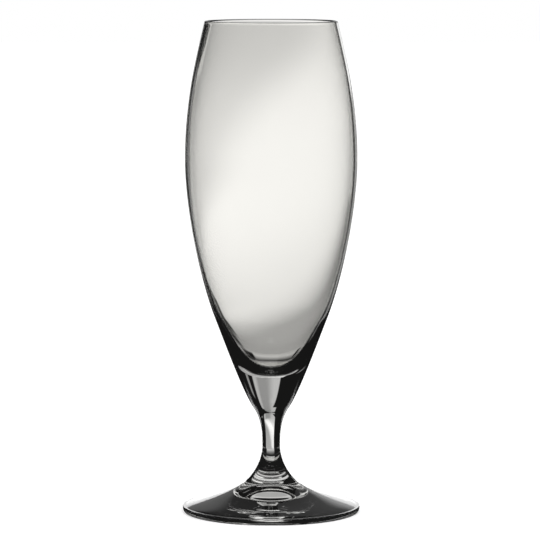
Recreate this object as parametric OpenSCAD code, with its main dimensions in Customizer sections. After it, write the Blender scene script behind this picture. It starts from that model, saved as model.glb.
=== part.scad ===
// Stemmed pilsner glass in clear glass: a blown bowl on a solid cone, a pressed stem and
// a pressed foot, welded to each other face to face.
// Millimetres, +Z up. The origin is on the table, under the middle of the foot.
//
// Each piece is one outline turned about the Z axis. An outline passes through named rings,
// and a smooth curve joins each ring to the next.

/* [Bowl] */
// Height of the bowl from its weld to the top of the lip
bowl_h = 173; // [160:0.1:186]
// Outside diameter of the mouth, across the middle of the lip
mouth_d = 59.4; // [54:0.1:66]
// Outside diameter of the belly, the widest ring of the bowl
belly_d = 76.8; // [70:0.1:84]
// Height of the belly above the weld
belly_h = 111; // [98:0.1:124]
// Outside diameter of the hip, where the round cup runs into the cone
hip_d = 50.1; // [44:0.1:56]
// Height of the hip above the weld
hip_h = 40.2; // [34:0.1:46]
// Diameter of the weld between the bowl and the stem
neck_d = 15.9; // [14:0.1:19]

/* [Bowl wall and cavity] */
// Wall at the lip
lip_wall = 1.4; // [1:0.05:2.2]
// Wall at the belly
belly_wall = 1.6; // [1:0.05:2.6]
// Wall at the hip, where the glass starts to gather
hip_wall = 2.25; // [1.8:0.05:4.5]
// Solid glass between the weld and the lowest point of the cavity
base_h = 16.2; // [12:0.1:22]

/* [Stem] */
// Height of the stem between its two welds
stem_h = 34.3; // [28:0.1:42]
// Diameter of the waist, the thinnest ring of the stem
waist_d = 8.1; // [6.5:0.1:11]
// Height of the waist above the weld with the foot
waist_h = 17.2; // [14:0.1:22]
// Diameter of the weld between the stem and the foot
root_d = 25.5; // [20:0.1:30]

/* [Foot] */
// Height of the foot from the table to its weld
foot_h = 12.7; // [10.5:0.1:15]
// Diameter of the foot
foot_d = 79.5; // [72:0.1:88]
// Height of the foot's widest ring above the table
edge_h = 2.2; // [1.4:0.05:2.5]
// Height of the ring where the top of the foot rolls over into the edge
brow_h = 2.9; // [2.6:0.05:3.6]
// How far that ring lies inside the widest one
brow_in = 1.6; // [1:0.1:3]
// How far the outer corner of the resting ring lies inside the widest ring
heel_in = 0.9; // [0.5:0.05:1.5]
// Width of the flat ring that the glass stands on
rest_w = 2; // [1:0.1:3.5]
// Height of the shallow hollow inside the resting ring
hollow_h = 1.6; // [0.8:0.05:2.4]
// Diameter of the round dimple in the middle of the hollow
dimple_d = 30; // [24:0.1:36]
// Height of the dimple above the hollow
dimple_h = 6.5; // [4:0.1:7.5]

/* [Slopes in degrees from upright] */
// Inward lean of the wall at the lip
lip_lean = 12.9; // [8:0.1:18]
// Outward lean of the wall at the hip
hip_lean = 21.2; // [16:0.1:27]
// Outward lean of the cavity's wall at the hip
cavity_lean = 26.5; // [21:0.1:33]
// Outward lean of the glass at the weld between the bowl and the stem
neck_lean = 35.3; // [24:0.1:42]
// Inward lean of the glass at the weld between the stem and the foot
root_lean = 55.9; // [48:0.1:62]
// Inward lean of the foot's top at its brow
brow_lean = 66.2; // [58:0.1:74]

/* [Hidden] */

// Chords in each curve, and sides of each ring in the preview
curve_steps = 24;
lip_steps = 10;
$fn = 180;

// Heights of the two welds above the table
root_z = foot_h;
neck_z = root_z + stem_h;

// How far a curve leaves along its slope at each ring, as shares of the straight distance
// to the next ring: [below the ring, above the ring]
lip_shares = [0.24, 0];
belly_shares = [0.27, 0.44];
hip_shares = [0.25, 0.29];
neck_shares = [0.44, 0.18];
waist_shares = [0.51, 0.13];
root_shares = [0.4, 0.1];
brow_shares = [0.6, 0.2];
edge_shares = [0.45, 0.54];
heel_shares = [0, 0.2];
cavity_belly_shares = [0.35, 0.47];
cavity_hip_shares = [0.77, 0.21];
floor_shares = [0, 0.22];
sole_shares = [0, 0.2];
dimple_rim_shares = [0.5, 0.29];
dimple_shares = [0.41, 0];

// Direction of an outline that leans by angle a from upright, outward when positive
function slope(a) = [sin(a), cos(a)];

// A ring of an outline: its radius, height, lean and shares
function ring(r, z, lean, shares) = [[r, z], slope(lean), shares];

// Point at share t of a curve with two end points and two handles
function bend(a, p, q, b, t) =
    pow(1 - t, 3) * a + 3 * pow(1 - t, 2) * t * p + 3 * (1 - t) * pow(t, 2) * q + pow(t, 3) * b;

// Points of the smooth curve that climbs from one ring to the next
function climb(low, high) =
    let (
        reach = norm(high[0] - low[0]),
        p = low[0] + low[1] * low[2][1] * reach,
        q = high[0] - high[1] * high[2][0] * reach
    )
    [for (i = [0 : curve_steps]) bend(low[0], p, q, high[0], i / curve_steps)];

// The same points without the first, to go on from a curve that ends there
function onward(points) = [for (i = [1 : len(points) - 1]) points[i]];

// The same points in the other order
function downward(points) = [for (i = [len(points) - 1 : -1 : 0]) points[i]];

// Rings of the bowl, with heights above the weld
lip_r = lip_wall / 2;
lip_middle = [mouth_d / 2 - lip_r, bowl_h - lip_r];
lip_outer = lip_middle + lip_r * [cos(lip_lean), sin(lip_lean)];
lip_inner = lip_middle - lip_r * [cos(lip_lean), sin(lip_lean)];
neck_ring = ring(neck_d / 2, 0, neck_lean, neck_shares);
hip_ring = ring(hip_d / 2, hip_h, hip_lean, hip_shares);
belly_ring = ring(belly_d / 2, belly_h, 0, belly_shares);
lip_ring = ring(lip_outer.x, lip_outer.y, -lip_lean, lip_shares);
floor_ring = ring(0, base_h, 90, floor_shares);
cavity_hip_ring = ring(hip_d / 2 - hip_wall, hip_h, cavity_lean, cavity_hip_shares);
cavity_belly_ring = ring(belly_d / 2 - belly_wall, belly_h, 0, cavity_belly_shares);
cavity_lip_ring = ring(lip_inner.x, lip_inner.y, -lip_lean, lip_shares);

// Rings of the stem, with heights above the foot
stem_root_ring = ring(root_d / 2, 0, -root_lean, root_shares);
waist_ring = ring(waist_d / 2, waist_h, 0, waist_shares);
stem_neck_ring = ring(neck_d / 2, stem_h, neck_lean, neck_shares);

// Rings of the foot, with heights above the table
heel_r = foot_d / 2 - heel_in;
dimple_ring = ring(0, hollow_h + dimple_h, -90, dimple_shares);
dimple_rim_ring = ring(dimple_d / 2, hollow_h, -90, dimple_rim_shares);
sole_ring = ring(heel_r - rest_w, 0, -75, sole_shares);
heel_ring = ring(heel_r, 0, 80, heel_shares);
edge_ring = ring(foot_d / 2, edge_h, 0, edge_shares);
brow_ring = ring(foot_d / 2 - brow_in, brow_h, -brow_lean, brow_shares);
foot_root_ring = ring(root_d / 2, foot_h, -root_lean, root_shares);

// The lip from its outer side over the top to its inner side, as one half circle
function lip_points() =
    [for (i = [1 : lip_steps - 1])
        let (a = lip_lean + 180 * i / lip_steps)
        lip_middle + lip_r * [cos(a), sin(a)]];

// Half section of the bowl, outside first, then the lip, then down the cavity
function bowl_outline() = concat(
    [[0, 0]],
    climb(neck_ring, hip_ring),
    onward(climb(hip_ring, belly_ring)),
    onward(climb(belly_ring, lip_ring)),
    lip_points(),
    downward(climb(cavity_belly_ring, cavity_lip_ring)),
    onward(downward(climb(cavity_hip_ring, cavity_belly_ring))),
    onward(downward(climb(floor_ring, cavity_hip_ring)))
);

// Half section of the stem from the foot's weld to the bowl's weld
function stem_outline() = concat(
    [[0, 0]],
    climb(stem_root_ring, waist_ring),
    onward(climb(waist_ring, stem_neck_ring)),
    [[0, stem_h]]
);

// Half section of the foot from its dimple round the edge to the stem's weld
function foot_outline() = concat(
    downward(climb(dimple_rim_ring, dimple_ring)),
    onward(downward(climb(sole_ring, dimple_rim_ring))),
    climb(heel_ring, edge_ring),
    onward(climb(edge_ring, brow_ring)),
    onward(climb(brow_ring, foot_root_ring)),
    [[0, foot_h]]
);

// Blown cup with a gathered, solid cone under its cavity
module bowl() {
    color("azure", 0.5)
    translate([0, 0, neck_z])
    rotate_extrude()
    polygon(bowl_outline());
}

// Pressed stem, waisted between its two welds
module stem() {
    color("lightcyan", 0.5)
    translate([0, 0, root_z])
    rotate_extrude()
    polygon(stem_outline());
}

// Pressed foot with a domed top, a rolled edge and a hollow, dimpled underside
module foot() {
    color("aliceblue", 0.5)
    rotate_extrude()
    polygon(foot_outline());
}

bowl();
stem();
foot();
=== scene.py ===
from math import cos, pi, radians, sin

import bmesh
import bpy
from bpy.props import FloatProperty, FloatVectorProperty, IntProperty, PointerProperty
from bpy.types import Operator, Panel, PropertyGroup
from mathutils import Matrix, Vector


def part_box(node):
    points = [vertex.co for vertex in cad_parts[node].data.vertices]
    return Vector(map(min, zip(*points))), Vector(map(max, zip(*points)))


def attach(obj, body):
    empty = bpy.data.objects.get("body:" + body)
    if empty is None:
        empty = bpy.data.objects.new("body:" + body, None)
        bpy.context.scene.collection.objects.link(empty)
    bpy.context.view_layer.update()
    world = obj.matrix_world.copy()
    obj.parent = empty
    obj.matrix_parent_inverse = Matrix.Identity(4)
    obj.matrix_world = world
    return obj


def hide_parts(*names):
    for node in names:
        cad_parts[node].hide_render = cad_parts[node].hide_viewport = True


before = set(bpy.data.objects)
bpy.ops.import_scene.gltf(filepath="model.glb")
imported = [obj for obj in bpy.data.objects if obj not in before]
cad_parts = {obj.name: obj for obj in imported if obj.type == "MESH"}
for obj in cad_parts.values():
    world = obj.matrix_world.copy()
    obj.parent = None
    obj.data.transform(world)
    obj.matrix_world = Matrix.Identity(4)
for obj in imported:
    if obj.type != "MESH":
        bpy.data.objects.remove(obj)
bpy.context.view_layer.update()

bl_info = {
    "name": "Stemmed Pilsner Glass",
    "version": (1, 0, 0),
    "blender": (4, 5, 0),
    "location": "3D View > Sidebar > Glass",
    "description": "Turns a stemmed pilsner glass in clear glass and sets it in a plain studio",
    "category": "Object",
}

# Every surface of the glass is turned from bands. A band is a smooth curve from one named
# ring to the next, swept round the Z axis. Lengths are in metres, on the CAD's own origin.

BOWL_LOW, BOWL_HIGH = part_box("bowl")
STEM_LOW, STEM_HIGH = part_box("stem")
FOOT_LOW, FOOT_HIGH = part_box("foot")
NECK_Z = BOWL_LOW.z
ROOT_Z = FOOT_HIGH.z
MERGE = 1e-6  # points closer than this are one point
SOLE_LEAN = pi - radians(75)
HEEL_LEAN = radians(80)

# How far a curve leaves a ring along its slope, before and after the ring, as shares of the
# straight distance to the next ring
QUARTER_CIRCLE = 0.3905
STRAIGHT = (0.3, 0.3)
NECK_SHARES = (0.44, 0.18)
ROOT_SHARES = (0.4, 0.1)


def length(name, text, default):
    return FloatProperty(name=name, description=text, default=default, unit="LENGTH", precision=5)


def lean(name, text, default):
    return FloatProperty(name=name, description=text, default=radians(default), subtype="ANGLE")


def number(name, text, default):
    return FloatProperty(name=name, description=text, default=default)


# Numbers in a node tree, and the nodes that work on them

MIX_NUMBERS = (2, 3)  # the Mix node's inputs for two numbers
MIX_VECTORS = (4, 5)  # and for two vectors
MIXED_VECTOR = 1


class Num:
    """A number in a node tree. Sums written on it become Math nodes."""

    def __init__(self, tree, socket):
        self.tree, self.socket = tree, socket

    def math(self, operation, *others):
        node = self.tree.nodes.new("ShaderNodeMath")
        node.operation = operation
        for slot, value in zip(node.inputs, (self, *others)):
            join(self.tree, slot, value)
        return Num(self.tree, node.outputs[0])

    def __add__(self, other):
        return self.math("ADD", other)

    def __sub__(self, other):
        return self.math("SUBTRACT", other)

    def __mul__(self, other):
        return self.math("MULTIPLY", other)

    def __truediv__(self, other):
        return self.math("DIVIDE", other)

    def max(self, other):
        return self.math("MAXIMUM", other)

    def size(self):
        """The number without its sign."""
        return self.math("ABSOLUTE")

    def under(self, other):
        """1 where this number is less than the other, and 0 elsewhere."""
        return self.math("LESS_THAN", other)

    def over(self, other):
        """1 where this number is more than the other, and 0 elsewhere."""
        return self.math("GREATER_THAN", other)

    def ramp(self, low, high, start=0.0, end=1.0, kind="SMOOTHSTEP"):
        """Goes from start, where this number is low, to end, where it is high, and stays there.
        It runs the other way when low is the larger of the two."""
        node = self.tree.nodes.new("ShaderNodeMapRange")
        node.interpolation_type = kind
        for slot, value in zip(node.inputs, (self, low, high, start, end)):
            join(self.tree, slot, value)
        return Num(self.tree, node.outputs[0])

    def window(self, low, high, soft):
        """1 between low and high, 0 outside, with edges that fade over the width soft."""
        half = soft / 2
        return self.ramp(low - half, low + half) * self.ramp(high + half, high - half)

    def blend(self, other, share_of_other):
        """This number where the share is 0, and the other where it is 1."""
        first, second = MIX_NUMBERS
        node = add(self.tree, "ShaderNodeMix", {0: share_of_other, first: self, second: other})
        return Num(self.tree, node.outputs[0])


def join(tree, slot, value):
    """Feeds an input from a socket, a Num or a plain value."""
    if isinstance(value, Num):
        value = value.socket
    if isinstance(value, bpy.types.NodeSocket):
        tree.links.new(value, slot)
    else:
        slot.default_value = value


def add(tree, kind, inputs=(), **settings):
    """Makes a node, with its settings and with inputs given by name or number."""
    node = tree.nodes.new(kind)
    for key, value in settings.items():
        setattr(node, key, value)
    for key, value in dict(inputs).items():
        join(tree, node.inputs[key], value)
    return node


def vector_math(tree, operation, *values, scale=None):
    """A Vector Math node. Its first output is a vector, and the one named Value is a number."""
    node = add(tree, "ShaderNodeVectorMath", dict(enumerate(values)), operation=operation)
    if scale is not None:
        join(tree, node.inputs["Scale"], scale)
    return node


def vector(tree, x=0.0, y=0.0, z=0.0):
    """A vector of three numbers."""
    return add(tree, "ShaderNodeCombineXYZ", {0: x, 1: y, 2: z}).outputs[0]


def three_numbers(tree, source):
    """The x, y and z of a vector."""
    return [Num(tree, part) for part in add(tree, "ShaderNodeSeparateXYZ", {0: source}).outputs]


# Turned surfaces

RING_PARTS = ("Radius", "Height", "Lean", "Share Before", "Share After")


def band_group():
    """The node group that turns one band: a curve between two rings, swept round the Z axis."""
    name = "Turned Band"
    if name in bpy.data.node_groups:
        return bpy.data.node_groups[name]
    tree = bpy.data.node_groups.new(name, "GeometryNodeTree")
    face = tree.interface
    for part, kind, default in (
        ("Sides", "NodeSocketInt", 180), ("Steps", "NodeSocketInt", 24),
        ("From Radius", "NodeSocketFloat", 0.01), ("From Height", "NodeSocketFloat", 0.0),
        ("From Lean", "NodeSocketFloat", 0.0), ("From Share", "NodeSocketFloat", 0.3),
        ("To Radius", "NodeSocketFloat", 0.01), ("To Height", "NodeSocketFloat", 0.02),
        ("To Lean", "NodeSocketFloat", 0.0), ("To Share", "NodeSocketFloat", 0.3),
    ):
        face.new_socket(part, in_out="INPUT", socket_type=kind).default_value = default
    face.new_socket("Mesh", in_out="OUTPUT", socket_type="NodeSocketGeometry")
    given = {s.name: s for s in add(tree, "NodeGroupInput").outputs}
    num = {part: Num(tree, socket) for part, socket in given.items() if part}

    start = vector(tree, x=num["From Radius"], z=num["From Height"])
    end = vector(tree, x=num["To Radius"], z=num["To Height"])
    reach = Num(tree, vector_math(tree, "DISTANCE", start, end).outputs["Value"])

    def handle(side, spot, sign):
        slope = vector(tree, x=num[side + " Lean"].math("SINE"), z=num[side + " Lean"].math("COSINE"))
        arm = vector_math(tree, "SCALE", slope, scale=reach * num[side + " Share"] * sign)
        return vector_math(tree, "ADD", spot, arm.outputs[0]).outputs[0]

    grid = add(tree, "GeometryNodeMeshGrid", {
        "Size X": 1.0, "Size Y": 1.0, "Vertices X": num["Sides"] + 1, "Vertices Y": num["Steps"] + 1})
    grid_x, grid_y, _ = three_numbers(tree, add(tree, "GeometryNodeInputPosition").outputs[0])
    turn = (grid_x + 0.5) * (2 * pi)
    along = grid_y + 0.5

    def between(a, b):
        first, second = MIX_VECTORS
        node = add(tree, "ShaderNodeMix", {0: along, first: a, second: b}, data_type="VECTOR")
        return node.outputs[MIXED_VECTOR]

    row = [start, handle("From", start, 1.0), handle("To", end, -1.0), end]
    while len(row) > 1:
        row = [between(a, b) for a, b in zip(row, row[1:])]
    radius, _, height = three_numbers(tree, row[0])
    place = vector(tree, radius * turn.math("COSINE"), radius * turn.math("SINE"), height)
    moved = add(tree, "GeometryNodeSetPosition", {"Geometry": grid.outputs[0], "Position": place})
    join(tree, add(tree, "NodeGroupOutput").inputs[0], moved.outputs[0])
    return tree


def turned_tree(name, rings, bands):
    """The tree of one piece. Its inputs are named after the piece's rings. It joins the bands,
    closes seams and poles, and gives the weld faces a material of their own. A band is given as
    the ring it starts from, the ring it ends at and its number of steps."""
    tree = bpy.data.node_groups.new(name, "GeometryNodeTree")
    face = tree.interface
    face.new_socket("Mesh", in_out="OUTPUT", socket_type="NodeSocketGeometry")
    face.new_socket("Sides", in_out="INPUT", socket_type="NodeSocketInt")
    for ring in rings:
        for part in RING_PARTS:
            face.new_socket(f"{ring} {part}", in_out="INPUT", socket_type="NodeSocketFloat")
    for part in ("Glass", "Weld Face"):
        face.new_socket(part, in_out="INPUT", socket_type="NodeSocketMaterial")
    given = {s.name: s for s in add(tree, "NodeGroupInput").outputs}
    sides, welds = [], []
    for low, high, steps in bands:
        node = add(tree, "GeometryNodeGroup", node_tree=band_group())
        for key, value in {
            "Sides": given["Sides"], "Steps": steps,
            "From Radius": given[low + " Radius"], "From Height": given[low + " Height"],
            "From Lean": given[low + " Lean"], "From Share": given[low + " Share After"],
            "To Radius": given[high + " Radius"], "To Height": given[high + " Height"],
            "To Lean": given[high + " Lean"], "To Share": given[high + " Share Before"],
        }.items():
            join(tree, node.inputs[key], value)
        (welds if "Weld" in low else sides).append(node.outputs[0])

    def joined(meshes):
        node = add(tree, "GeometryNodeJoinGeometry")
        for mesh in meshes:
            tree.links.new(mesh, node.inputs[0])
        return node.outputs[0]

    finished = []
    for meshes, material in ((sides, "Glass"), (welds, "Weld Face")):
        mesh = joined(meshes)
        for kind, settings in (
            ("GeometryNodeMergeByDistance", {"Distance": MERGE}),
            ("GeometryNodeSetShadeSmooth", {"Shade Smooth": True}),
            ("GeometryNodeRealizeInstances", {}),
            ("GeometryNodeSetMaterial", {"Material": given[material]}),
        ):
            mesh = add(tree, kind, {"Geometry": mesh, **settings}).outputs[0]
        finished.append(mesh)
    join(tree, add(tree, "NodeGroupOutput").inputs[0], joined(finished))
    return tree


def make_turned(name, node, rings, bands, sides, glass):
    """Turns one piece, as a plain mesh, and puts it in place of the CAD node."""
    tree = turned_tree(name.replace("_", " ").title(), rings, bands)
    seed = bpy.data.objects.new(name + "_seed", bpy.data.meshes.new(name + "_seed"))
    bpy.context.collection.objects.link(seed)
    turned = seed.modifiers.new("Turned", "NODES")
    turned.node_group = tree
    values = {"Sides": sides, "Glass": glass, "Weld Face": weld_face()}
    for ring, facts in rings.items():
        values.update({f"{ring} {part}": fact for part, fact in zip(RING_PARTS, facts)})
    for item in tree.interface.items_tree:
        if item.item_type == "SOCKET" and item.in_out == "INPUT":
            turned[item.identifier] = values[item.name]
    graph = bpy.context.evaluated_depsgraph_get()
    mesh = bpy.data.meshes.new_from_object(seed.evaluated_get(graph), depsgraph=graph)
    bpy.data.objects.remove(seed)
    mesh.name = name
    weld_rings(mesh)
    piece = bpy.data.objects.new(name, mesh)
    bpy.context.collection.objects.link(piece)
    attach(piece, "root")
    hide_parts(node)
    return piece


def weld_rings(mesh):
    """Joins the weld faces to the sides, and keeps the ring between them sharp."""
    shape = bmesh.new()
    shape.from_mesh(mesh)
    bmesh.ops.remove_doubles(shape, verts=shape.verts, dist=MERGE)
    for edge in shape.edges:
        kinds = {face.material_index for face in edge.link_faces}
        if len(kinds) > 1:
            edge.smooth = False
    shape.to_mesh(mesh)
    shape.free()


# Materials

def new_material(name):
    material = bpy.data.materials.new(name)
    material.use_nodes = True
    material.node_tree.nodes.clear()
    return material, material.node_tree


def show(tree, shader):
    """Makes a shader the one that the material shows."""
    join(tree, add(tree, "ShaderNodeOutputMaterial").inputs[0], shader)


def radius_at(x, y):
    """Distance from the Z axis."""
    return (x * x + y * y).math("SQRT")


def object_spot(tree):
    """Where a point lies on its object, in metres."""
    return add(tree, "ShaderNodeTexCoord").outputs["Object"]


def clear_glass(name, look, wave_tilt, mark_tilt):
    """Clear soda glass. Its surface is fire-polished, with a very slight waviness: long soft
    waves everywhere, and fine turned rings where mark_tilt is over 0."""
    material, tree = new_material(name)
    spot = object_spot(tree)
    x, y, z = three_numbers(tree, spot)
    rings = vector(tree, x=radius_at(x, y), z=z)

    def tilt(where, scale, amount):
        noise = add(tree, "ShaderNodeTexNoise", {"Vector": where, "Scale": scale, "Detail": 1.0})
        push = vector_math(tree, "SUBTRACT", noise.outputs["Color"], (0.5, 0.5, 0.5)).outputs[0]
        return vector_math(tree, "SCALE", push, scale=amount).outputs[0]

    normal = add(tree, "ShaderNodeNewGeometry").outputs["Normal"]
    for push in (tilt(spot, look.wave_scale, wave_tilt), tilt(rings, look.mark_scale, mark_tilt)):
        normal = vector_math(tree, "ADD", normal, push).outputs[0]
    normal = vector_math(tree, "NORMALIZE", normal).outputs[0]
    shader = add(tree, "ShaderNodeBsdfPrincipled", {
        "Base Color": (*look.tint, 1.0), "Roughness": 0.0, "IOR": look.ior,
        "Transmission Weight": 1.0, "Normal": normal})
    show(tree, shader.outputs[0])
    return material


def weld_face():
    """The face inside a weld, where glass has run into glass: nothing is seen of it."""
    name = "Fused Weld"
    if name in bpy.data.materials:
        return bpy.data.materials[name]
    material, tree = new_material(name)
    show(tree, add(tree, "ShaderNodeBsdfTransparent").outputs[0])
    return material


# Properties

class BowlProps(PropertyGroup):
    mouth: length("Mouth Diameter", "Across the middle of the lip", 0.0594)
    belly: length("Belly Diameter", "The widest ring of the bowl", BOWL_HIGH.x - BOWL_LOW.x)
    belly_h: length("Belly Height", "Above the weld with the stem", 0.111)
    hip: length("Hip Diameter", "Where the round cup runs into the cone", 0.0501)
    hip_h: length("Hip Height", "Above the weld with the stem", 0.0402)
    neck: length("Neck Diameter", "The weld between bowl and stem", 0.0159)
    lip_wall: length("Lip Wall", "Thickness of the wall at the lip", 0.0014)
    belly_wall: length("Belly Wall", "Thickness of the wall at the belly", 0.0016)
    hip_wall: length("Hip Wall", "Thickness of the wall at the hip", 0.00225)
    base: length("Solid Base", "Solid glass between the weld and the cavity", 0.0162)
    lip_lean: lean("Lip Lean", "Inward lean of the wall at the lip", 12.9)
    hip_lean: lean("Hip Lean", "Outward lean of the wall at the hip", 21.2)
    cavity_lean: lean("Cavity Lean", "Outward lean of the cavity's wall at the hip", 26.5)
    neck_lean: lean("Neck Lean", "Outward lean at the weld with the stem", 35.3)


class StemProps(PropertyGroup):
    waist: length("Waist Diameter", "The thinnest ring of the stem", 0.0081)
    waist_h: length("Waist Height", "Above the weld with the foot", 0.0172)
    root: length("Root Diameter", "The weld between stem and foot", STEM_HIGH.x - STEM_LOW.x)
    root_lean: lean("Root Lean", "Inward lean at the weld with the foot", 55.9)


class FootProps(PropertyGroup):
    edge: length("Foot Diameter", "The widest ring of the foot", FOOT_HIGH.x - FOOT_LOW.x)
    edge_h: length("Edge Height", "Height of the widest ring above the table", 0.0022)
    brow_h: length("Brow Height", "Where the top of the foot rolls over into the edge", 0.0029)
    brow_in: length("Brow Inset", "How far the brow lies inside the widest ring", 0.0016)
    heel_in: length("Heel Inset", "How far the resting ring lies inside the widest ring", 0.0009)
    rest: length("Resting Ring Width", "Width of the flat ring that the glass stands on", 0.002)
    hollow: length("Hollow Height", "Height of the shallow hollow inside the resting ring", 0.0016)
    dimple: length("Dimple Diameter", "The round dimple in the middle of the hollow", 0.03)
    dimple_h: length("Dimple Height", "Height of the dimple above the hollow", 0.0065)
    brow_lean: lean("Brow Lean", "Inward lean of the foot's top at its brow", 66.2)


class GlassProps(PropertyGroup):
    sides: IntProperty(name="Sides", description="Flats round each ring", default=180, min=24)
    ior: number("IOR", "How strongly the glass bends light", 1.52)
    tint: FloatVectorProperty(name="Tint", description="Colour that the glass lets through",
                              subtype="COLOR", default=(0.992, 0.986, 0.964), size=3)
    wave_scale: number("Wave Scale", "Soft waves per metre in the surface", 30.0)
    wave_tilt: number("Wave Tilt", "Slope of the soft waves", 0.003)
    mark_scale: number("Mark Scale", "Turned rings per metre in pressed glass", 500.0)
    mark_tilt: number("Mark Tilt", "Slope of the turned rings", 0.004)


class StudioProps(PropertyGroup):
    camera_y: length("Camera Distance", "From the axis of the glass to the camera", 1.5301)
    camera_z: length("Camera Height", "Above the table", 0.2638)
    camera_x: length("Camera Offset", "To the right of the axis", -0.00053)
    pitch: lean("Camera Pitch", "How far the camera looks down", 5.783)
    lens: number("Lens", "Focal length in millimetres", 229.41)
    floor: length("Floor Size", "Half the width of the floor", 6.0)
    backdrop_y: length("Backdrop Distance", "From the axis of the glass back to the pale sheet", 0.835)
    room: number("Room Light", "Light that falls on matt things", 0.9)


# Pieces

class GLASS_OT_bowl(Operator):
    """Turn the bowl: the cup, its lip and the solid cone under it"""
    bl_idname = "glass.bowl"
    bl_label = "Make Bowl"

    def execute(self, context):
        p, glass = context.scene.glass_bowl, context.scene.glass_look
        lip_r = p.lip_wall / 2
        middle = Vector((p.mouth / 2 - lip_r, BOWL_HIGH.z - lip_r))
        side = lip_r * Vector((cos(p.lip_lean), sin(p.lip_lean)))
        over = lip_r * Vector((-sin(p.lip_lean), cos(p.lip_lean)))
        outer, top, inner = middle + side, middle + over, middle - side
        arc = QUARTER_CIRCLE
        rings = {
            "Weld Middle": (0.0, NECK_Z, pi / 2, *STRAIGHT),
            "Weld": (p.neck / 2, NECK_Z, pi / 2, *STRAIGHT),
            "Neck": (p.neck / 2, NECK_Z, p.neck_lean, *NECK_SHARES),
            "Hip": (p.hip / 2, NECK_Z + p.hip_h, p.hip_lean, 0.25, 0.29),
            "Belly": (p.belly / 2, NECK_Z + p.belly_h, 0.0, 0.27, 0.44),
            "Lip": (*outer, -p.lip_lean, 0.24, arc),
            "Lip Top": (*top, -p.lip_lean - pi / 2, arc, arc),
            "Cavity Lip": (*inner, pi - p.lip_lean, arc, 0.24),
            "Cavity Belly": (p.belly / 2 - p.belly_wall, NECK_Z + p.belly_h, pi, 0.47, 0.35),
            "Cavity Hip": (p.hip / 2 - p.hip_wall, NECK_Z + p.hip_h, pi + p.cavity_lean, 0.21, 0.77),
            "Floor": (0.0, NECK_Z + p.base, -pi / 2, 0.22, 0.0),
        }
        bands = (
            ("Weld Middle", "Weld", 1), ("Neck", "Hip", 40), ("Hip", "Belly", 48), ("Belly", "Lip", 48),
            ("Lip", "Lip Top", 8), ("Lip Top", "Cavity Lip", 8), ("Cavity Lip", "Cavity Belly", 48),
            ("Cavity Belly", "Cavity Hip", 48), ("Cavity Hip", "Floor", 48),
        )
        look = clear_glass("Blown Clear Glass", glass, glass.wave_tilt, 0.0)
        make_turned("glass_bowl", "bowl", rings, bands, glass.sides, look)
        return {"FINISHED"}


class GLASS_OT_stem(Operator):
    """Turn the waisted stem between its two welds"""
    bl_idname = "glass.stem"
    bl_label = "Make Stem"

    def execute(self, context):
        p, bowl, glass = context.scene.glass_stem, context.scene.glass_bowl, context.scene.glass_look
        rings = {
            "Root Weld Middle": (0.0, ROOT_Z, pi / 2, *STRAIGHT),
            "Root Weld": (p.root / 2, ROOT_Z, pi / 2, *STRAIGHT),
            "Root": (p.root / 2, ROOT_Z, -p.root_lean, *ROOT_SHARES),
            "Waist": (p.waist / 2, ROOT_Z + p.waist_h, 0.0, 0.51, 0.13),
            "Neck": (bowl.neck / 2, NECK_Z, bowl.neck_lean, *NECK_SHARES),
            "Neck Weld": (bowl.neck / 2, NECK_Z, -pi / 2, *STRAIGHT),
            "Neck Weld Middle": (0.0, NECK_Z, -pi / 2, *STRAIGHT),
        }
        bands = (
            ("Root Weld Middle", "Root Weld", 1), ("Root", "Waist", 60), ("Waist", "Neck", 60),
            ("Neck Weld", "Neck Weld Middle", 1),
        )
        look = clear_glass("Drawn Clear Glass", glass, glass.wave_tilt, glass.mark_tilt)
        make_turned("glass_stem", "stem", rings, bands, glass.sides, look)
        return {"FINISHED"}


class GLASS_OT_foot(Operator):
    """Turn the foot: its dimpled underside, resting ring, rolled edge and domed top"""
    bl_idname = "glass.foot"
    bl_label = "Make Foot"

    def execute(self, context):
        p, stem, glass = context.scene.glass_foot, context.scene.glass_stem, context.scene.glass_look
        heel = p.edge / 2 - p.heel_in
        rings = {
            "Dimple": (0.0, p.hollow + p.dimple_h, pi / 2, 0.0, 0.41),
            "Dimple Rim": (p.dimple / 2, p.hollow, pi / 2, 0.29, 0.5),
            "Sole": (heel - p.rest, 0.0, SOLE_LEAN, 0.2, 0.0),
            "Rest": (heel - p.rest, 0.0, pi / 2, *STRAIGHT),
            "Rest Heel": (heel, 0.0, pi / 2, *STRAIGHT),
            "Heel": (heel, 0.0, HEEL_LEAN, 0.0, 0.2),
            "Edge": (p.edge / 2, p.edge_h, 0.0, 0.45, 0.54),
            "Brow": (p.edge / 2 - p.brow_in, p.brow_h, -p.brow_lean, 0.6, 0.2),
            "Root": (stem.root / 2, ROOT_Z, -stem.root_lean, *ROOT_SHARES),
            "Root Weld": (stem.root / 2, ROOT_Z, -pi / 2, *STRAIGHT),
            "Root Weld Middle": (0.0, ROOT_Z, -pi / 2, *STRAIGHT),
        }
        bands = (
            ("Dimple", "Dimple Rim", 48), ("Dimple Rim", "Sole", 32), ("Rest", "Rest Heel", 2),
            ("Heel", "Edge", 16), ("Edge", "Brow", 16), ("Brow", "Root", 60),
            ("Root Weld", "Root Weld Middle", 1),
        )
        look = clear_glass("Pressed Clear Glass", glass, glass.wave_tilt, glass.mark_tilt)
        make_turned("glass_foot", "foot", rings, bands, glass.sides, look)
        return {"FINISHED"}


# Studio

# Light of the things that glass sees, as emission strength. The far and near reflection glows are
# painted reflections, which only mirrored rays see.
DARK = 0.008
FAR_PAINTED_REFLECTION = 0.3
FAR_STRIP = 0.32
FAR_TABLE = 0.45
FAR_SHEETS = 0.8
NEAR_PAINTED_REFLECTION = 1.8
NEAR_FLOOR = 0.01
BAND = 1.424

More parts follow.
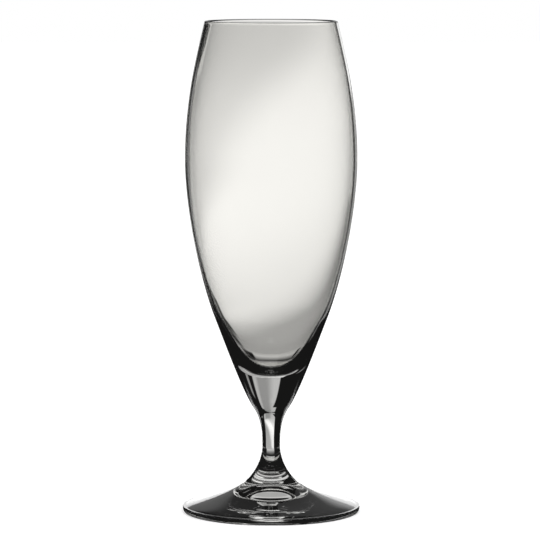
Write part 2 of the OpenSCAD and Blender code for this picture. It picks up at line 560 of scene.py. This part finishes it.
FLOOR_COLOUR = (0.8, 0.8, 0.8, 1.0)
FLOOR_GLOW = 0.4  # makes the floor white to the camera
LAMP_PLACE = (0.2, -0.3, 1.6)
BOUNCES = 32


def light_path(tree):
    """Facts about the ray that meets a shader, each as a number."""
    return {fact.name: Num(tree, fact) for fact in add(tree, "ShaderNodeLightPath").outputs}


def from_glass(tree):
    """1 for a ray that glass passed on or mirrored."""
    ray = light_path(tree)
    return ray["Is Transmission Ray"].max(ray["Is Glossy Ray"])


def direct(tree):
    """1 for a ray that nothing has thrown back on its way."""
    return light_path(tree)["Glossy Depth"].under(0.5)


def thrown_back(tree):
    """1 for a ray that was mirrored at least once, inside the glass or outside."""
    return light_path(tree)["Glossy Depth"].over(0.5)


def through_bowl(tree):
    """1 for a ray that has gone through both walls of the bowl and was never mirrored."""
    return light_path(tree)["Transmission Depth"].over(3.5) * direct(tree)


def mirrored_outside(tree):
    """1 for a ray that the outside of the glass mirrors, and that was never inside it."""
    ray = light_path(tree)
    return ray["Transmission Depth"].under(0.5) * ray["Is Glossy Ray"]


def bounced_inside(tree):
    """1 for a ray that was in the glass and was mirrored there or before."""
    return light_path(tree)["Transmission Depth"].over(0.5) * thrown_back(tree)


def bearing(x, y):
    """Degrees to the right of straight behind the glass."""
    return x.math("ARCTAN2", y).math("DEGREES")


def glow_or_clear(tree, light, shown):
    """A shader that glows where shown is 1, and lets everything pass where it is 0."""
    glow = add(tree, "ShaderNodeEmission", {"Strength": light})
    clear = add(tree, "ShaderNodeBsdfTransparent")
    both = add(tree, "ShaderNodeMixShader", {0: shown, 1: clear.outputs[0], 2: glow.outputs[0]})
    return both.outputs[0]


def studio_world(world, p):
    """Light by direction. The camera sees white, matt things get an even room light, and glass
    sees a dark room with pale sheets at its sides."""
    world.use_nodes = True
    tree = world.node_tree
    tree.nodes.clear()
    x, y, z = three_numbers(tree, add(tree, "ShaderNodeTexCoord").outputs["Generated"])
    room = dark_room(tree, bearing(x, y), z.math("ARCSINE").math("DEGREES"))
    light = from_glass(tree).ramp(0.0, 1.0, p.room, room, "LINEAR")
    light = light.blend(1.0, light_path(tree)["Is Camera Ray"])
    back = add(tree, "ShaderNodeBackground", {"Color": (1, 1, 1, 1), "Strength": light})
    join(tree, add(tree, "ShaderNodeOutputWorld").inputs[0], back.outputs[0])


def side_sheets(tree, across):
    """1 where a pale sheet hangs at the sides and in front. Glass passes it on, and doesn't
    mirror it, so that it lights the other views and draws no stripes in this one. The inner
    pair is seen through both walls of the bowl alone."""
    outer = across.size().ramp(78.0, 88.0) * direct(tree)
    inner = across.size().ramp(23.0, 29.0) * through_bowl(tree)
    return outer.max(inner)


def dark_room(tree, across, above):
    """What the glass sees far off: across is degrees to the right of straight behind, above is
    degrees over the horizon."""
    # Painted reflection: a dim glow on the left that only mirrored rays see, in the light that the
    # bowl's left edge throws back
    painted_reflection = across.window(-32.0, -26.0, 4.0) * above.window(-12.0, 3.0, 4.0)
    painted_reflection = painted_reflection * thrown_back(tree) * FAR_PAINTED_REFLECTION

    # A small sheet high on the right
    strip = across.window(35.0, 41.0, 3.0) * above.window(24.0, 31.0, 3.0)
    strip = strip * direct(tree) * FAR_STRIP

    # The pale table behind the foot, steeply below
    table = across.window(-13.0, 20.0, 4.0) * above.ramp(-23.0, -26.0) * above.ramp(-72.0, -45.0)
    table = table * FAR_TABLE

    # The sheets at the sides, and a lower pair for the mouth as it is seen from above
    mouth = across.size().ramp(31.0, 37.0) * above.window(-38.0, -14.0, 3.0) * direct(tree)
    sheets = side_sheets(tree, across).max(mouth)
    sheets = sheets * above.ramp(-75.0, -60.0) * above.ramp(30.0, 10.0) * FAR_SHEETS

    return painted_reflection.max(strip).max(table).max(sheets).max(DARK)


def backdrop_light(tree, x, z):
    """The backdrop's light. It has a bright band from the lower left to the upper right, which
    is brightest along a streak."""
    above_band = (z - x * 0.827).ramp(0.115, 0.177, 1.0, 0.812)
    below_band = (z - x * 0.907).ramp(-0.018, -0.173, 1.0, 0.447)
    streak = (z - x * 0.286 - 0.104).size().ramp(0.0, 0.15, 1.378, 1.0)
    fade = z.ramp(-0.3, 0.45, 0.627, 1.56, "LINEAR")
    fade = fade * z.ramp(-0.365, 0.253, 1.0, 0.413) * z.ramp(0.2, 0.45, 1.0, 0.42)
    band = above_band * below_band * streak * fade * BAND

    # Higher up it is grey, paler on the left and at the far right
    high = x.ramp(-0.08, 0.11, 0.54, 0.31).max(x.ramp(0.17, 0.33, 0.0, 0.49))
    light = band.blend(high, z.ramp(0.24, 0.34))
    light = light.max(x.ramp(0.2, 0.33, 0.0, 0.5) * z.ramp(0.2, 0.3))

    # Both its sides are bright through the bowl
    walls = through_bowl(tree)
    light = light.max(x.ramp(-0.115, -0.165) * z.ramp(0.13, 0.19) * walls)
    light = light.max(x.ramp(0.15, 0.19) * z.ramp(0.05, 0.08) * walls)

    # Its middle is dark at two heights to light that was mirrored in the glass
    low = z.ramp(0.1, 0.14, 1.0, 0.07)
    top = z.ramp(0.22, 0.45, 0.07, 0.9) * z.ramp(0.62, 0.55).max(z.ramp(0.68, 0.72))
    shaded = x.window(-0.12, 0.12, 0.04) * bounced_inside(tree)
    light = light.blend(light * low.max(top), shaded)

    # The outside of the glass mirrors it dimly
    left, right = z.ramp(0.42, 0.6, 0.37, 0.1), z.ramp(0.22, 0.44, 0.95, 0.22)
    mirrored = left.blend(right, x.ramp(-0.02, 0.02)) * z.ramp(0.18, 0.2)
    return light.blend(mirrored, mirrored_outside(tree))


def backdrop_outline(tree, x, z):
    """1 on the backdrop and 0 past its soft edges. Its left edge moves inward with height, and
    lies farther out low down through the bowl. The glass mirrors it with straight edges."""
    inward = z.ramp(0.34, 0.54, 0.0, 0.12, "LINEAR") * z.ramp(0.6, 0.56)
    outward = through_bowl(tree) * z.window(-0.08, 0.2, 0.03) * 0.12
    outline = (x - inward + outward).ramp(-0.19, -0.165) * x.ramp(0.42, 0.38) * z.ramp(0.86, 0.8)
    return outline.blend(x.window(-0.27, 0.45, 0.02), mirrored_outside(tree))


def backdrop_material():
    """A pale sheet behind the glass, for glass alone."""
    material, tree = new_material("Pale Backdrop")
    x, _, z = three_numbers(tree, object_spot(tree))
    light, shown = backdrop_light(tree, x, z), backdrop_outline(tree, x, z)
    show(tree, glow_or_clear(tree, light, shown))
    return material


def painted_reflection_material():
    """A low white glow right behind the foot, which is a painted reflection. Only the outside of the
    glass mirrors it.
    """
    material, tree = new_material("White Card")
    x, _, z = three_numbers(tree, object_spot(tree))
    shown = x.size().ramp(0.01, 0.014) * z.ramp(0.0225, 0.0195) * mirrored_outside(tree)
    show(tree, glow_or_clear(tree, NEAR_PAINTED_REFLECTION, shown))
    return material


def floor_light(tree, x, y):
    """The floor's light as glass sees it: dark under the foot but for some patches, and pale
    farther off."""
    ray = light_path(tree)
    reach, mirrored = ray["Ray Length"], ray["Glossy Depth"]
    radius, across = radius_at(x, y), bearing(x, y)
    open_sides = across.window(-13.0, 20.0, 2.0).max(side_sheets(tree, across))
    beyond = radius.ramp(0.05, 0.11, 0.0, 0.58) * open_sides

    # A patch under the foot's front edge, and one under its back edge, which is seen after no
    # mirroring or after two
    front = across.size().ramp(168.0, 174.0) * radius.window(0.033, 0.042, 0.004) * 0.74
    none_or_two = (mirrored - 1.0).size().math("COMPARE", 1.0, 0.1)
    back = across.window(-14.0, 14.0, 4.0) * radius.window(0.0365, 0.042, 0.002)
    back = back * none_or_two * 0.7

    # An oval under the dimple, brighter at its border, where out is 1
    out = (x / 0.0102).math("POWER", 2.0) + ((y - 0.0105) / 0.0115).math("POWER", 2.0)
    oval = out.ramp(0.6, 0.95, 0.43, 0.66) * out.ramp(1.15, 1.02) * reach.ramp(0.0025, 0.0035)
    oval = oval * direct(tree).max(y.ramp(0.014, 0.017) * mirrored.under(1.5))

    # Light for views from above, by the length of the ray's last part: from the sole, from
    # the foot's top and the stem, and from the bowl
    sole = reach.ramp(0.0024, 0.0019) * radius.window(0.021, 0.035, 0.002) * 0.5
    stem = reach.window(0.022, 0.05, 0.004) * open_sides * radius.ramp(0.1, 0.07) * 0.47
    bowl = reach.ramp(0.055, 0.06, 0.0, 0.23).max(reach.ramp(0.08, 0.095, 0.0, 0.5))
    bowl = (bowl * radius.ramp(0.06, 0.05)).max(reach.ramp(0.115, 0.13, 0.0, 0.5))
    steep = sole.max(stem).max(bowl) * direct(tree)

    # The outside of the glass mirrors the floor behind it
    behind = across.window(-55.0, 55.0, 10.0) * radius.ramp(0.03, 0.04) * mirrored_outside(tree)

    light = beyond.max(NEAR_FLOOR)
    for part in (front, back, oval, steep, behind):
        light = light.max(part)
    return light


def floor_material():
    """Pale matt floor. It is white to the camera but for the shadow of the glass. Glass sees
    floor_light near the foot, and farther off it sees the backdrop and the room."""
    material, tree = new_material("Pale Floor")
    x, y, _ = three_numbers(tree, object_spot(tree))
    matt = add(tree, "ShaderNodeBsdfDiffuse", {"Color": FLOOR_COLOUR})
    glow = add(tree, "ShaderNodeEmission", {"Strength": FLOOR_GLOW})
    plain = add(tree, "ShaderNodeAddShader", {0: matt.outputs[0], 1: glow.outputs[0]})
    near = radius_at(x, y).ramp(0.13, 0.1)
    seen = glow_or_clear(tree, floor_light(tree, x, y), near)
    both = add(tree, "ShaderNodeMixShader", {0: from_glass(tree), 1: plain.outputs[0], 2: seen})
    show(tree, both.outputs[0])
    return material


def upright(left, right, back, low, high):
    """Corners of a sheet that stands across the view."""
    return [(left, back, low), (right, back, low), (right, back, high), (left, back, high)]


def stage_sheet(name, corners, material):
    """A flat piece of the studio, from its four corners."""
    mesh = bpy.data.meshes.new(name)
    mesh.from_pydata(corners, [], [(0, 1, 2, 3)])
    mesh.materials.append(material)
    sheet = bpy.data.objects.new(name, mesh)
    bpy.context.collection.objects.link(sheet)
    return sheet


class GLASS_OT_studio(Operator):
    """Set the floor, the light and the camera"""
    bl_idname = "glass.studio"
    bl_label = "Make Studio"

    def execute(self, context):
        p, scene = context.scene.glass_studio, context.scene
        s = p.floor
        stage_sheet("floor", [(-s, -s, 0), (s, -s, 0), (s, s, 0), (-s, s, 0)], floor_material())
        behind = upright(-0.36, 0.5, p.backdrop_y, -0.42, 0.95)
        backdrop = stage_sheet("backdrop", behind, backdrop_material())
        # A painted reflection: a low glowing sheet behind the foot that only the outside of the glass
        # mirrors
        painted_reflection = stage_sheet("painted_reflection", upright(-0.055, 0.055, 0.06, 0.0, 0.023), painted_reflection_material())
        for sheet in (backdrop, painted_reflection):
            sheet.visible_camera = sheet.visible_diffuse = sheet.visible_shadow = False

        scene.world = bpy.data.worlds.new("Studio")
        studio_world(scene.world, p)

        lamp = bpy.data.lights.new("soft_lamp", "AREA")
        lamp.shape, lamp.size, lamp.energy = "DISK", 1.2, 6.0
        top = bpy.data.objects.new("soft_lamp", lamp)
        top.location = LAMP_PLACE
        top.rotation_euler = (-top.location).to_track_quat("-Z", "Y").to_euler()
        top.visible_glossy = top.visible_transmission = False
        context.collection.objects.link(top)

        camera = bpy.data.objects.new("camera", bpy.data.cameras.new("camera"))
        camera.data.lens, camera.data.sensor_width = p.lens, 36.0
        camera.data.clip_start, camera.data.clip_end = 0.05, 50.0
        camera.location = (p.camera_x, -p.camera_y, p.camera_z)
        camera.rotation_euler = (pi / 2 - p.pitch, 0, 0)
        context.collection.objects.link(camera)
        scene.camera = camera

        scene.view_settings.view_transform = "Standard"
        scene.cycles.max_bounces = scene.cycles.transmission_bounces = BOUNCES
        scene.cycles.glossy_bounces = scene.cycles.transparent_max_bounces = BOUNCES
        return {"FINISHED"}


class GLASS_PT_panel(Panel):
    """Sidebar panel with the sizes and the buttons"""
    bl_idname = "GLASS_PT_panel"
    bl_label = "Pilsner Glass"
    bl_space_type = "VIEW_3D"
    bl_region_type = "UI"
    bl_category = "Glass"

    def draw(self, context):
        for owner, operator in PARTS:
            box = self.layout.box()
            group = getattr(context.scene, owner)
            for name in group.__annotations__:
                box.prop(group, name)
            if operator:
                box.operator(operator)


PARTS = (
    ("glass_look", None), ("glass_bowl", "glass.bowl"), ("glass_stem", "glass.stem"),
    ("glass_foot", "glass.foot"), ("glass_studio", "glass.studio"),
)
GROUPS = {
    "glass_look": GlassProps, "glass_bowl": BowlProps, "glass_stem": StemProps,
    "glass_foot": FootProps, "glass_studio": StudioProps,
}
OPERATORS = (GLASS_OT_bowl, GLASS_OT_stem, GLASS_OT_foot, GLASS_OT_studio)
CLASSES = (*GROUPS.values(), *OPERATORS, GLASS_PT_panel)


def register():
    for cls in CLASSES:
        bpy.utils.register_class(cls)
    for owner, group in GROUPS.items():
        setattr(bpy.types.Scene, owner, PointerProperty(type=group))


def unregister():
    for owner in GROUPS:
        delattr(bpy.types.Scene, owner)
    for cls in reversed(CLASSES):
        bpy.utils.unregister_class(cls)


def main():
    register()
    bpy.ops.glass.studio()
    bpy.ops.glass.bowl()
    bpy.ops.glass.stem()
    bpy.ops.glass.foot()
    bpy.context.view_layer.update()


if __name__ == "__main__":
    main()
